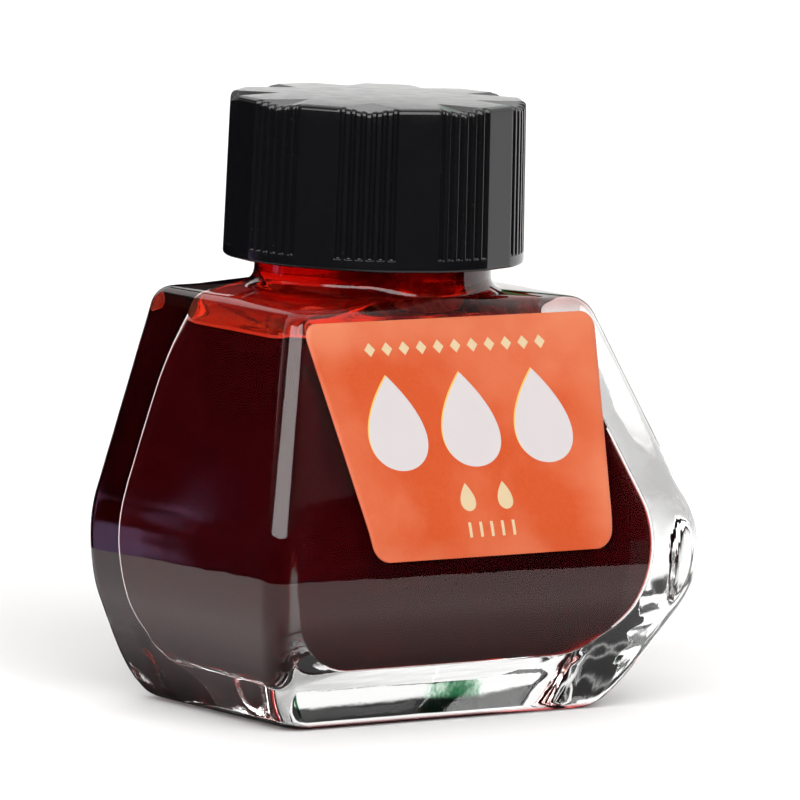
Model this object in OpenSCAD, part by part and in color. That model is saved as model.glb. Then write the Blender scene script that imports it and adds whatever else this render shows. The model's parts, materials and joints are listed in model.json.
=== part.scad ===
// 30 ml ink bottle: heavy glass body with a screw neck, its ink, a paper label,
// a ribbed moulded cap and the foam liner inside the cap. Millimetres, +Z up.
// The origin is on the table, under the middle of the bottle's overall footprint.

/* [Glass body] */
// Height of the flat shoulder above the table
shoulder_z = 43.0; // [41:0.1:44]
// Height at which the upper and lower slopes of the sides would meet
knee_z = 16.4; // [15:0.1:18]
// Width across the shoulder
shoulder_width = 38.8; // [37:0.1:40]
// Width across the belly, where the side slopes would meet
knee_width = 58.8; // [54:0.1:60]
// Width across the base
base_width = 38.8; // [37:0.1:41]
// Reach of the front face from the neck axis at the shoulder
shoulder_front = 12.9; // [12.7:0.1:14]
// Reach of the front face from the neck axis where its slopes would meet
knee_front = 23.9; // [22:0.1:25]
// Reach of the front face from the neck axis at the base
base_front = 15.8; // [15:0.1:17]
// Reach of the back face from the neck axis at the shoulder
shoulder_back = 12.9; // [12.7:0.1:14]
// Reach of the back face from the neck axis at the belly
knee_back = 11.4; // [11.2:0.1:12]
// Reach of the back face from the neck axis at the base
base_back = 9.8; // [9.5:0.1:10]
// How far the sides stand out past their straight lower slope
side_swell = 1.6; // [0:0.1:2]
// How far the back stands out past its straight lower slope
back_swell = 1.0; // [0:0.1:2]
// Radius of the rounded belly, seen from the side
belly_radius = 13.0; // [11:0.5:14]
// Radius of the upright edges at the shoulder
edge_radius_top = 1.7; // [1.5:0.1:2]
// Radius of the upright edges at the base
edge_radius_base = 2.4; // [2:0.1:2.8]
// Radius where the sides turn into the shoulder
shoulder_round = 1.8; // [1.5:0.1:2]
// Radius where the sides turn under into the base
base_round = 1.0; // [0.8:0.1:1.2]

/* [Ink chamber] */
// Glass thickness of the left and right sides
side_wall = 5.0; // [4:0.1:5.2]
// Glass thickness of the front
front_wall = 3.2; // [2.5:0.1:3.2]
// Glass thickness of the back
back_wall = 2.6; // [2.2:0.1:3]
// Glass thickness of the floor
floor_wall = 6.9; // [5:0.1:7.5]
// Glass thickness of the shoulder
shoulder_wall = 1.6; // [1.4:0.1:2]
// Radius of the chamber's lower edge at the left and right
chamber_round = 5.0; // [4:0.1:5.5]
// Radius of the chamber's lower edge at the front and back
chamber_fillet = 2.0; // [1:0.1:2]
// Radius of the chamber's upper edge
ceiling_round = 2.4; // [2:0.1:2.6]
// Height of the ink surface above the table
ink_level = 38.9; // [30:0.1:40]

/* [Neck] */
// Diameter of the neck at the root of its thread
neck_d = 24.8; // [24.6:0.1:25]
// Diameter over the neck's thread
thread_d = 27.2; // [27:0.1:27.3]
// Diameter of the mouth
mouth_d = 19.2; // [18:0.1:19.4]
// Height of the sealing edge above the table
neck_top = 61.2; // [61:0.1:61.4]
// Radius of the flare from the shoulder up to the neck
neck_flare = 1.7; // [1.4:0.1:1.8]
// Rise of the thread in one turn
pitch = 4.233; // [4.233]
// Turns of thread moulded on the neck
neck_turns = 1.5; // [1.25:0.25:1.5]

/* [Cap] */
// Height of the cap's top face above the table
cap_top = 63.8; // [63.7:0.1:64]
// Height of the cap's rim above the table
cap_rim = 46.7; // [46.5:0.1:47]
// Diameter of the cap at its rim
cap_rim_d = 31.5; // [31.4:0.1:32]
// Diameter of the cap at its top
cap_top_d = 30.9; // [30.8:0.1:31.2]
// Inside diameter of the skirt
skirt_bore_d = 28.0; // [27.9:0.1:28.2]
// Inside diameter over the cap's thread
cap_thread_d = 25.5; // [25.4:0.1:25.7]
// Groups of grip grooves around the cap
grip_groups = 9; // [7:1:10]
// Grooves in each group
grooves_per_group = 6; // [4:1:6]
// Depth of a groove
groove_depth = 0.45; // [0.3:0.05:0.5]
// Width of a groove
groove_width = 0.55; // [0.4:0.05:0.6]
// Depth of the wedge cut where a group of grooves meets the top's edge
wedge_depth = 0.5; // [0.3:0.1:1.0]

/* [Label] */
// Width of the label along its top edge
label_top_width = 37.8; // [34:0.1:38]
// Width of the label along its bottom edge
label_bottom_width = 30.4; // [28:0.1:32]
// Height of the label's top edge above the table
label_top = 41.8; // [40:0.1:42]
// Height of the label's bottom edge above the table
label_bottom = 18.1; // [17:0.1:20]
// Radius of the label's corners
label_corner = 1.8; // [1:0.1:2.5]
// Thickness of the label
label_thickness = 0.12; // [0.1:0.01:0.2]

/* [Hidden] */

skin = 0.03;               // gap left between two pieces that touch
arc_steps = 5;             // steps in each rounded edge of a lofted solid
belly_step = 1.0;          // height between sections around the belly
belly_zone = [-15, 7];     // heights below and above the knee that need those sections
swell_top = 18.0;          // height at which the lower swell has died out
foot_ring = 3.0;           // width of the ring that the bottle stands on
foot_recess = 0.5;         // depth of the hollow inside that ring
foot_corner = 1.5;         // radius of that hollow's corners
chamber_corner = 1.5;      // radius of the chamber's upright corners
neck_root = 2.0;           // depth of the neck's blank inside the shoulder
mouth_root = 5.0;          // depth of the mouth's bore below the shoulder
lip_round = 0.6;           // radius of the sealing edge
flare_clear = 0.3;         // the flare stops this far inside the front and back faces

embed = 0.4;               // how far a thread ridge is sunk into its wall
thread_facet = 7.5;        // degrees between sections of a thread ridge
thread_fade = 30;          // degrees over which a ridge rises from its wall
neck_ridge = [2.3, 1.0];   // width of the neck's ridge at its root and at its crest
cap_ridge = [1.7, 0.8];    // width of the cap's ridge at its root and at its crest
neck_thread_end = 1.9;     // sealing edge down to the middle of the top turn
cap_turns = 1.25;          // turns of thread moulded in the cap
cap_thread_lead = -60;     // angle at which the cap's ridge starts, in degrees

cap_roof = 1.4;            // thickness of the cap's top
cap_edge = 0.5;            // radius of the cap's top edge
rim_chamfer = 0.3;         // chamfers on both sides of the rim
liner_d = 27.1;            // diameter of the foam liner
liner_seat_d = 27.4;       // diameter of the seat that holds it
liner_seat_depth = 1.5;    // depth of that seat
groove_foot = 1.2;         // plain band between the grooves and the rim
groove_angle = 4.1;        // angle between two grooves of one group
first_group = -130;        // direction of the middle of the first group
wedge_apex = 0.67;         // where a wedge cut starts, as a share of the cap's radius

group_angle = 360 / grip_groups;
grip_angle = grooves_per_group * groove_angle;
draft = atan((cap_rim_d - cap_top_d) / 2 / (cap_top - cap_rim));
roof_z = cap_top - cap_roof;
neck_thread_z = neck_top - neck_thread_end - neck_turns * pitch;

// The neck's distance behind the origin, which centres the overall footprint
front_reach = bulge(base_front, knee_front, shoulder_front) + skin + label_thickness;
neck_y = (front_reach - cap_rim_d / 2) / 2;

// A side's profile: two straight slopes through v0, vk and v1, joined by an arc
function low_slope(v0, vk) = atan((vk - v0) / knee_z);
function high_slope(vk, v1) = atan((vk - v1) / (shoulder_z - knee_z));
function tangent(v0, vk, v1) = belly_radius * tan((low_slope(v0, vk) + high_slope(vk, v1)) / 2);
function arc_centre(v0, vk, v1) =
    let (t = tangent(v0, vk, v1), a = low_slope(v0, vk))
    [knee_z - t * cos(a) + belly_radius * sin(a), vk - t * sin(a) - belly_radius * cos(a)];
function bulge(v0, vk, v1) = arc_centre(v0, vk, v1)[1] + belly_radius;
function reach(z, v0, vk, v1) =
    let (t = tangent(v0, vk, v1), c = arc_centre(v0, vk, v1))
    z < knee_z - t * cos(low_slope(v0, vk)) ? v0 + (vk - v0) * z / knee_z
    : z > knee_z + t * cos(high_slope(vk, v1))
        ? vk + (v1 - vk) * (z - knee_z) / (shoulder_z - knee_z)
    : c[1] + sqrt(belly_radius ^ 2 - (z - c[0]) ^ 2);

function half_width(z) = reach(z, base_width / 2, knee_width / 2, shoulder_width / 2);
function front(z) = reach(z, base_front, knee_front, shoulder_front);
function back(z) = reach(z, base_back, knee_back, shoulder_back);
function edge_radius(z) =
    edge_radius_base + (edge_radius_top - edge_radius_base) * z / shoulder_z;

// A rectangle with rounded corners at height z, from x = -w to w and y = -f to b
function section(z, w, f, b, r) = [
    for (corner = [0:3], step = [0:arc_steps])
        let (a = 90 * (corner + step / arc_steps),
             cx = corner == 0 || corner == 3 ? w - r : r - w,
             cy = corner < 2 ? b - r : r - f)
        [cx + r * cos(a), cy + r * sin(a), z]];

// Heights and insets of the sections along a rounded lower edge and upper edge
function lower_edge(z, r) = [for (s = [0:arc_steps]) let (a = 90 * s / arc_steps)
    [z + r * (1 - cos(a)), r * (1 - sin(a))]];
function upper_edge(z, r) = [for (s = [0:arc_steps]) let (a = 90 * s / arc_steps)
    [z - r * (1 - sin(a)), r * (1 - cos(a))]];
function levels(z0, r0, z1, r1) = concat(
    lower_edge(z0, r0),
    [for (z = [knee_z + belly_zone[0]:belly_step:knee_z + belly_zone[1]])
        if (z > z0 + r0 && z < z1 - r1) [z, 0]],
    upper_edge(z1, r1));

// The lower body's outward swell at height z: 1 at a fifth of swell_top, 0 at both ends
function swell(z) =
    let (t = min(max(z / swell_top, 0), 1))
    sqrt(5 * t) * (1.25 * (1 - t)) ^ 2;

function body_section(z, inset) =
    section(z, half_width(z) + side_swell * swell(z) - inset, front(z) - inset,
            back(z) + back_swell * swell(z) - inset, edge_radius(z) - 0.8 * inset);

// How far an edge of radius r has drawn in at distance d from the face it runs into
function draw_in(d, r) = r - sqrt(max(0, r ^ 2 - max(r - d, 0) ^ 2));

// The chamber at height z, made smaller all round by gap
function chamber_section(z, gap) =
    let (foot = z - floor_wall - gap,
         top = draw_in(shoulder_z - shoulder_wall - z, ceiling_round) + gap,
         side = top + draw_in(foot, chamber_round),
         face = top + draw_in(foot, chamber_fillet))
    section(z, half_width(z) - side_wall - side, front(z) - front_wall - face,
            back(z) - back_wall - face, chamber_corner - face / 2);
function chamber_heights(gap) =
    [for (l = levels(floor_wall + gap, chamber_round, shoulder_z - shoulder_wall, ceiling_round))
        l[0]];

// A closed solid through a list of sections with equal numbers of points
module loft(sections) {
    n = len(sections[0]);
    last = len(sections) - 1;
    sides = [for (k = [0:last - 1], i = [0:n - 1], half = [0:1])
        let (a = k * n + i, b = k * n + (i + 1) % n)
        half == 0 ? [a, a + n, b + n] : [a, b + n, b]];
    polyhedron(
        points = [for (s = sections) each s],
        faces = concat([[for (i = [0:n - 1]) i]], sides, [[for (i = [n - 1:-1:0]) last * n + i]]),
        convexity = 8);
}

// A helical ridge with a trapezoid section, standing on a round wall of radius wall_r
module ridge(wall_r, crest_r, widths, z0, lead, turns) {
    side = crest_r > wall_r ? 1 : -1;
    loft([for (a = [0:thread_facet:360 * turns])
        let (rise = min(1, 0.1 + a / thread_fade, 0.1 + (360 * turns - a) / thread_fade),
             crest = wall_r + (crest_r - wall_r) * rise,
             z = z0 + pitch * (a + lead) / 360,
             profile = [[wall_r - side * embed, z + side * widths[0] / 2],
                        [crest, z + side * widths[1] / 2],
                        [crest, z - side * widths[1] / 2],
                        [wall_r - side * embed, z - side * widths[0] / 2]])
        [for (p = profile) [p[0] * cos(a + lead), p[0] * sin(a + lead), p[1]]]]);
}

module neck_blank() {
    r = neck_d / 2;
    wide = r + neck_flare;
    intersection() {
        rotate_extrude($fn = 96) polygon(concat(
            [[0, shoulder_z - neck_root], [wide, shoulder_z - neck_root]],
            [for (a = [0:15:90])
                [wide - neck_flare * sin(a), shoulder_z + neck_flare * (1 - cos(a))]],
            [for (a = [0:30:90])
                [r - lip_round * (1 - cos(a)), neck_top - lip_round * (1 - sin(a))]],
            [[0, neck_top]]));
        translate([-wide, flare_clear - shoulder_front, 0])
            cube([2 * wide, shoulder_front + shoulder_back - 2 * flare_clear, neck_top + 1]);
    }
}

module chamber() {
    loft([for (z = chamber_heights(0)) chamber_section(z, 0)]);
    translate([0, 0, shoulder_z - mouth_root])
        cylinder(d = mouth_d, h = neck_top - shoulder_z + mouth_root + 1, $fn = 96);
}

module foot_hollow() {
    inset = base_round + foot_ring;
    outline = section(0, half_width(0) - inset, front(0) - inset, back(0) - inset, foot_corner);
    translate([0, 0, -1]) linear_extrude(1 + foot_recess)
        polygon([for (p = outline) [p[0], p[1]]]);
}

module glass_bottle() {
    color([0.85, 0.9, 0.9, 0.35]) translate([0, neck_y, 0]) difference() {
        union() {
            loft([for (l = levels(0, base_round, shoulder_z, shoulder_round))
                body_section(l[0], l[1])]);
            neck_blank();
            ridge(neck_d / 2, thread_d / 2, neck_ridge, neck_thread_z, 0, neck_turns);
        }
        chamber();
        foot_hollow();
    }
}

module ink() {
    wet = [for (z = chamber_heights(skin)) if (z < ink_level - skin) z];
    color([0.45, 0.02, 0.02]) translate([0, neck_y, 0])
        loft([for (z = concat(wet, [ink_level])) chamber_section(z, skin)]);
}

// Half the label's width at height z, with its rounded corners
function corner_cut(d) = d >= label_corner ? 0
    : label_corner - sqrt(label_corner ^ 2 - (label_corner - d) ^ 2);
function label_half(z) =
    (label_bottom_width + (label_top_width - label_bottom_width)
        * (z - label_bottom) / (label_top - label_bottom)) / 2
    - corner_cut(label_top - z) - corner_cut(z - label_bottom);

module front_label() {
    corner = [for (s = [0:arc_steps]) label_corner * (1 - cos(90 * s / arc_steps))];
    curved = [for (z = [ceil(label_bottom + label_corner):belly_step:knee_z + belly_zone[1]]) z];
    heights = concat(
        [for (c = corner) label_bottom + c], curved,
        [for (s = [arc_steps:-1:0]) label_top - corner[s]]);
    color([0.93, 0.42, 0.22]) translate([0, neck_y, 0]) loft([for (z = heights)
        let (w = label_half(z), inner = -front(z) - skin, outer = inner - label_thickness)
        [[-w, outer, z], [w, outer, z], [w, inner, z], [-w, inner, z]]]);
}

// The cap without its grooves: a slightly tapered cup with a seat for the liner
module cap_blank() {
    top_r = cap_top_d / 2;
    rim_r = cap_rim_d / 2;
    bore_r = skirt_bore_d / 2;
    rotate_extrude($fn = 120) polygon(concat(
        [[0, cap_top]],
        [for (a = [90:-30:0])
            [top_r - cap_edge * (1 - cos(a)), cap_top - cap_edge * (1 - sin(a))]],
        [[rim_r, cap_rim + rim_chamfer], [rim_r - rim_chamfer, cap_rim],
         [bore_r + rim_chamfer, cap_rim], [bore_r, cap_rim + rim_chamfer],
         [bore_r, roof_z - liner_seat_depth], [liner_seat_d / 2, roof_z - liner_seat_depth],
         [liner_seat_d / 2, roof_z], [0, roof_z]]));
}

module groove() {
    translate([cap_rim_d / 2, 0, cap_rim + groove_foot]) rotate([0, -draft, 0])
        translate([-groove_depth, -groove_width / 2, 0])
            cube([3, groove_width, cap_top - cap_rim + 1]);
}

// Cuts the plain stretch between two groups to a flat
module plain_flat() {
    half = (group_angle - grip_angle) / 2;
    translate([cap_rim_d / 2 * cos(half), 0, cap_rim - 1]) rotate([0, -draft, 0])
        translate([0, -3, -1]) cube([3, 6, cap_top - cap_rim + 4]);
}

// Cuts a shallow wedge into the top over a group, deepest at the outer edge
module wedge_cut() {
    outer = cap_top_d / 2;
    run = outer * (1 - wedge_apex);
    spread = 3 * outer * sin(grip_angle / 2) / wedge_depth;
    translate([outer * wedge_apex, 0, cap_top]) rotate([0, 90 + atan(wedge_depth / run), 0])
        linear_extrude(2 * run) polygon([[0, 0], [-3, spread], [-3, -spread]]);
}

module screw_cap() {
    color([0.07, 0.07, 0.08]) translate([0, neck_y, 0]) union() {
        difference() {
            cap_blank();
            for (group = [0:grip_groups - 1]) rotate(first_group + group * group_angle) {
                for (k = [0:grooves_per_group - 1])
                    rotate((k - (grooves_per_group - 1) / 2) * groove_angle) groove();
                rotate(group_angle / 2) plain_flat();
                wedge_cut();
            }
        }
        ridge(skirt_bore_d / 2, cap_thread_d / 2, cap_ridge, neck_thread_z - pitch / 2,
              cap_thread_lead, cap_turns);
    }
}

module cap_liner() {
    color([0.93, 0.93, 0.9]) translate([0, neck_y, neck_top + skin])
        cylinder(d = liner_d, h = roof_z - neck_top - 2 * skin, $fn = 96);
}

glass_bottle();
ink();
front_label();
screw_cap();
cap_liner();
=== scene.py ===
import json
import math

import bpy
import numpy as np
from mathutils import Matrix, Vector


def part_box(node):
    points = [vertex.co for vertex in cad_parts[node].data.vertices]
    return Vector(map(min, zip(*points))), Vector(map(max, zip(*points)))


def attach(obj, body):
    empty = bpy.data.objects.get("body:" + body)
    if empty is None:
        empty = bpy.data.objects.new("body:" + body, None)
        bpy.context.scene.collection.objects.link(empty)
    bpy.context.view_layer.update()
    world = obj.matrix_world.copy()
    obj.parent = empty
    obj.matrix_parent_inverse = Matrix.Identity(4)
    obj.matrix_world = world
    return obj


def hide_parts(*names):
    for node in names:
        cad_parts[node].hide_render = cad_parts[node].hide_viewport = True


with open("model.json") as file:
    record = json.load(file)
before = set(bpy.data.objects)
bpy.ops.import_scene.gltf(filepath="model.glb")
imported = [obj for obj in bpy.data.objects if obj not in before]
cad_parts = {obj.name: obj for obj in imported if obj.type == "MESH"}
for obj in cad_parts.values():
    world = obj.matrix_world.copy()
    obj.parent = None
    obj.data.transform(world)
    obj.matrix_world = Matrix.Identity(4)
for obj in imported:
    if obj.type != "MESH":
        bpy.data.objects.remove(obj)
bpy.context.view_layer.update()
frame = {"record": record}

MM = 0.001

# ---------------------------------------------------------------- sizes read from the frame
joint = next(j for j in frame["record"]["behaviour"]["joints"] if j["name"] == "cap_turn")
NECK_X, NECK_Y = joint["pos_m"][:2]
NECK_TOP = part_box("glass_bottle")[1].z
label_low, label_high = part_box("front_label")
cap_low, cap_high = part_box("screw_cap")
liner_low, liner_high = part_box("cap_liner")

# ---------------------------------------------------------------- glass body, from the neck's axis
SHOULDER_Z = 43.0 * MM
KNEE_Z = 16.4 * MM               # where the upper and lower slopes of the sides would meet
BELLY_RADIUS = 13.0 * MM
HALF_WIDTHS = (19.4 * MM, 29.4 * MM, 19.4 * MM)      # at the base, the knee and the shoulder
FRONTS = (15.8 * MM, 23.9 * MM, 12.9 * MM)
BACKS = (9.8 * MM, 11.4 * MM, 12.9 * MM)
SIDE_SWELL, BACK_SWELL = 1.6 * MM, 1.0 * MM          # past the straight lower slopes
SWELL_TOP = 18.0 * MM            # where that swell has died out
EDGE_RADII = (2.4 * MM, 1.7 * MM)                    # upright edges, at the base and the shoulder
SHOULDER_ROUND = 1.8 * MM
SHOULDER_SLOPE = 0.1             # rise of the shoulder towards the neck
SHOULDER_FOOT_R = 20.0 * MM      # how far from the axis that rise begins
BASE_ROUND = 1.0 * MM
FOOT_RING = 3.0 * MM
FOOT_RECESS = 0.5 * MM

SIDE_WALL = 5.0 * MM
FRONT_WALL = 3.2 * MM
BACK_WALL = 2.6 * MM
FLOOR_WALL = 6.9 * MM
SHOULDER_WALL = 1.6 * MM
CHAMBER_CORNER = 1.5 * MM
CHAMBER_ROUND = 5.0 * MM         # lower edge at the left and right
CHAMBER_FILLET = 2.0 * MM        # lower edge at the front and back
CEILING_ROUND = 2.6 * MM         # upper edge at the left and right
CEILING_FILLET = 0.7 * MM        # upper edge at the front and back
CORNER_SWELL = 1.6               # how much the upright corners widen as the ceiling closes in
CHAMBER_TOP_CORNER = 5.0 * MM    # the upright corners' radius just below that
CORNER_GROWS = (31.0 * MM, 39.0 * MM)                # heights between which they widen to it
CEILING_Z = SHOULDER_Z - SHOULDER_WALL
INK_GAP = 0.02 * MM              # between the ink and the glass that holds it
INK_REACH = 20.0 * MM            # the chamber's middling half width, which sets the ink's shrink
INK_LEVEL = 38.9 * MM
MENISCUS = 0.5 * MM              # how far the ink climbs the wall

NECK_R = 12.4 * MM
THREAD_R = 13.6 * MM
MOUTH_R = 9.6 * MM
MOUTH_FILLET = 2.0 * MM          # where the bore opens into the chamber
NECK_FLARE = 1.7 * MM
LIP_ROUND = 0.6 * MM
PITCH = 4.233 * MM
NECK_TURNS = 1.5
NECK_THREAD_Z = NECK_TOP - 1.9 * MM - NECK_TURNS * PITCH
NECK_RIDGE = (2.3 * MM, 1.0 * MM)                    # width at the root and at the crest
RIDGE_FADE = math.radians(30)    # stretch over which a ridge's end dies out

# ---------------------------------------------------------------- cap
CAP_TOP = cap_high.z
CAP_RIM_R = 15.75 * MM
CAP_TOP_R = 15.45 * MM
SKIRT_BORE_R = 14.0 * MM
CAP_THREAD_R = 12.75 * MM
CAP_RIDGE = (1.7 * MM, 0.8 * MM)
CAP_TURNS = 1.25
CAP_THREAD_LEAD = math.radians(-60)
LINER_SEAT_R = 13.7 * MM
LINER_SEAT_DEPTH = 1.5 * MM
CAP_ROOF = 1.4 * MM
CAP_EDGE = 0.5 * MM
CAP_DOME = 0.25 * MM             # how far the top face falls towards its edge
GRIP_GROUPS = 9
GROOVES_PER_GROUP = 6
GROOVE_STEP = math.radians(4.1)
GROOVE_DEPTH = 0.45 * MM
GROOVE_WIDTH = 0.55 * MM
GROOVE_FOOT = 1.2 * MM           # plain band below the grooves
GROOVE_END = 0.06 * MM           # height over which a groove reaches its depth
GROOVE_LIP, GROOVE_SOFT = 0.07 * MM, 0.16 * MM       # a sloping side's reach past it, and width
FIRST_GROUP = math.radians(-130)
WEDGE_DEPTH = 0.5 * MM
WEDGE_APEX = 0.67                # where a wedge cut starts, as a share of the cap's radius

# ---------------------------------------------------------------- label
LABEL_HALF_TOP = 18.9 * MM
LABEL_HALF_BOTTOM = 15.2 * MM
LABEL_CORNER = 1.8 * MM
LABEL_THICKNESS = 0.12 * MM
LABEL_GAP = 0.03 * MM
LABEL_SOFT = 0.03 * MM           # its slightly rounded edge
LABEL_ROWS, LABEL_COLUMNS = 60, 61


# ================================================================ mesh helpers
def closed_mesh(name, rings, slots=None):
    """A closed solid through a stack of rings with equal numbers of points.

    The rings run anticlockwise and go up the outside, so that the faces look outward. The first
    and last ring are each closed by one face, so they are small or flat. slots gives the
    material slot of the faces between ring k and ring k + 1.
    """
    count = len(rings[0])
    points = np.concatenate(rings) + (NECK_X, NECK_Y, 0.0)
    faces, face_slots = [], []
    for k in range(len(rings) - 1):
        base = k * count
        for i in range(count):
            j = (i + 1) % count
            faces.append((base + i, base + j, base + count + j, base + count + i))
            face_slots.append(slots[k] if slots else 0)
    last = (len(rings) - 1) * count
    faces.append(tuple(range(count - 1, -1, -1)))
    faces.append(tuple(last + i for i in range(count)))
    face_slots += [face_slots[0], face_slots[-1]]
    mesh = bpy.data.meshes.new(name)
    mesh.from_pydata([tuple(p) for p in points], [], faces)
    mesh.polygons.foreach_set("material_index", face_slots)
    mesh.polygons.foreach_set("use_smooth", [True] * len(faces))
    mesh.validate()
    mesh.update()
    piece = bpy.data.objects.new(name, mesh)
    bpy.context.scene.collection.objects.link(piece)
    return piece


def finish_piece(piece, body, node, slot, *materials):
    for material in materials:
        piece.data.materials.append(material)
    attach(piece, body)
    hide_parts(node)


def bend(start, corner, end, steps):
    """Points of the curve that rounds a corner, without its first point. Arrays work too."""
    out = []
    for k in range(1, steps + 1):
        t = k / steps
        out.append((1 - t) ** 2 * start + 2 * t * (1 - t) * corner + t * t * end)
    return out


def quarter(steps):
    """(sine, cosine) pairs along a quarter turn."""
    return [(math.sin(a), math.cos(a)) for a in np.linspace(0, math.pi / 2, steps + 1)]


# ================================================================ body sections
CORNER_STEPS = 9
LONG_STEPS, SHORT_STEPS = 44, 26
SIDE_END = 0.005                 # an extra point this close to each end of a straight side


def reach(z, values):
    """A side's distance from the axis: two straight slopes joined by an arc."""
    foot, knee, top = values
    low = math.atan((knee - foot) / KNEE_Z)
    high = math.atan((knee - top) / (SHOULDER_Z - KNEE_Z))
    run = BELLY_RADIUS * math.tan((low + high) / 2)
    centre_z = KNEE_Z - run * math.cos(low) + BELLY_RADIUS * math.sin(low)
    centre_v = knee - run * math.sin(low) - BELLY_RADIUS * math.cos(low)
    if z < KNEE_Z - run * math.cos(low):
        return foot + (knee - foot) * z / KNEE_Z
    if z > KNEE_Z + run * math.cos(high):
        return knee + (top - knee) * (z - KNEE_Z) / (SHOULDER_Z - KNEE_Z)
    return centre_v + math.sqrt(BELLY_RADIUS ** 2 - (z - centre_z) ** 2)


def side_fractions(steps):
    """Places of the points along a straight side, as shares of its length."""
    return [SIDE_END, *np.linspace(0.03, 0.97, steps), 1 - SIDE_END]


def section(z, half, front, back, radius):
    """A rectangle with rounded corners at height z, as an array of points."""
    points = []
    for corner in range(4):
        cx = half - radius if corner in (0, 3) else radius - half
        cy = back - radius if corner < 2 else radius - front
        for step in range(CORNER_STEPS + 1):
            a = math.pi / 2 * (corner + step / CORNER_STEPS)
            points.append((cx + radius * math.cos(a), cy + radius * math.sin(a)))
    per_corner = CORNER_STEPS + 1
    out = []
    for corner in range(4):
        arc = points[corner * per_corner:(corner + 1) * per_corner]
        after = points[(corner + 1) * per_corner % len(points)]
        out += arc
        steps = LONG_STEPS if corner % 2 == 0 else SHORT_STEPS
        for t in side_fractions(steps):
            out.append(tuple(p + (q - p) * t for p, q in zip(arc[-1], after)))
    return np.array([(x, y, z) for x, y in out])


def swell(z):
    """The lower body's outward swell: 1 at a fifth of SWELL_TOP, 0 at both ends."""
    t = min(max(z / SWELL_TOP, 0.0), 1.0)
    return math.sqrt(5 * t) * (1.25 * (1 - t)) ** 2


def body_section(z, inset=0.0):
    """The outside of the glass at height z, drawn in by inset."""
    radius = EDGE_RADII[0] + (EDGE_RADII[1] - EDGE_RADII[0]) * z / SHOULDER_Z
    return section(z, reach(z, HALF_WIDTHS) + SIDE_SWELL * swell(z) - inset,
                   reach(z, FRONTS) - inset, reach(z, BACKS) + BACK_SWELL * swell(z) - inset,
                   max(radius - 0.8 * inset, 0.3 * MM))


def rounding(distance, radius):
    """How far a rounded edge draws in at this distance from its end."""
    rest = max(radius - distance, 0.0)
    return radius - math.sqrt(radius ** 2 - rest ** 2)


def chamber_section(z):
    """The inside of the glass at height z. It has no swell, so the wall is thicker low down."""
    above, below = z - FLOOR_WALL, CEILING_Z - z
    closing = rounding(below, CEILING_ROUND)
    opening = rounding(above, CHAMBER_FILLET)
    side = rounding(above, CHAMBER_ROUND) + closing
    face = opening + rounding(below, CEILING_FILLET)
    low, high = CORNER_GROWS
    grown = min(max((z - low) / (high - low), 0), 1)
    corner = CHAMBER_CORNER + (CHAMBER_TOP_CORNER - CHAMBER_CORNER) * grown * grown
    return section(z, reach(z, HALF_WIDTHS) - SIDE_WALL - side,
                   reach(z, FRONTS) - FRONT_WALL - face, reach(z, BACKS) - BACK_WALL - face,
                   corner - opening / 2 + CORNER_SWELL * closing)


def shoulder_rise(radius):
    """The shoulder is a very flat cone: its height above the corners at this radius."""
    return SHOULDER_SLOPE * np.maximum(SHOULDER_FOOT_R - radius, 0.0)


def top_ring():
    """The edge where the faces would meet the shoulder."""
    low, high = body_section(SHOULDER_Z), body_section(SHOULDER_Z + MM)
    share = shoulder_rise(np.hypot(low[:, 0], low[:, 1])) / MM
    return low + (high - low) * share[:, None]


TOP_RING = top_ring()
AZIMUTHS = np.arctan2(TOP_RING[:, 1], TOP_RING[:, 0])
ROOT_Z = SHOULDER_Z + shoulder_rise(NECK_R)


def circle(radius, z, angles=None):
    """A ring round the neck's axis. radius may differ from point to point."""
    angles = AZIMUTHS if angles is None else angles
    flat = np.ones(len(angles))
    return np.stack([radius * np.cos(angles), radius * np.sin(angles), z * flat], axis=1)


def shrunk(ring, share, z):
    """The ring drawn in towards its middle, at height z."""
    middle = (ring.min(axis=0) + ring.max(axis=0)) / 2
    out = middle + (ring - middle) * share
    out[:, 2] = z
    return out


def toward(ring, other, distance):
    """Points of ring moved towards other by distance, or by half the way where that is less."""
    gap = other - ring
    length = np.linalg.norm(gap, axis=1, keepdims=True)
    return ring + gap / length * np.minimum(distance, length / 2)


def body_heights():
    """Heights of the sections between the two rounded edges, close together round the belly."""
    low = np.linspace(BASE_ROUND, KNEE_Z - 7 * MM, 8)[1:]
    belly = np.arange(KNEE_Z - 6.5 * MM, KNEE_Z + 7 * MM, 0.5 * MM)
    high = np.linspace(KNEE_Z + 7 * MM, SHOULDER_Z - SHOULDER_ROUND - 0.1 * MM, 16)
    return [BASE_ROUND + 0.1 * MM, *low, *belly, *high]


# ================================================================ threads
def ridge_height(angles, z, start_z, lead, turns, widths):
    """0 to 1: how far a helical ridge stands out at height z, for each angle."""
    height = np.zeros(len(angles))
    for turn in range(-1, int(turns) + 2):
        swept = (angles - lead) % (2 * math.pi) + turn * 2 * math.pi
        middle = start_z + PITCH * (swept + lead) / (2 * math.pi)
        ends = np.clip(np.minimum(swept, turns * 2 * math.pi - swept) / RIDGE_FADE, 0, 1)
        slope = (widths[0] - widths[1]) / 2
        profile = np.clip((widths[0] / 2 - np.abs(z - middle)) / slope, 0, 1)
        profile = profile * profile * (3 - 2 * profile)
        height = np.maximum(height, profile * ends)
    return height


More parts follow.
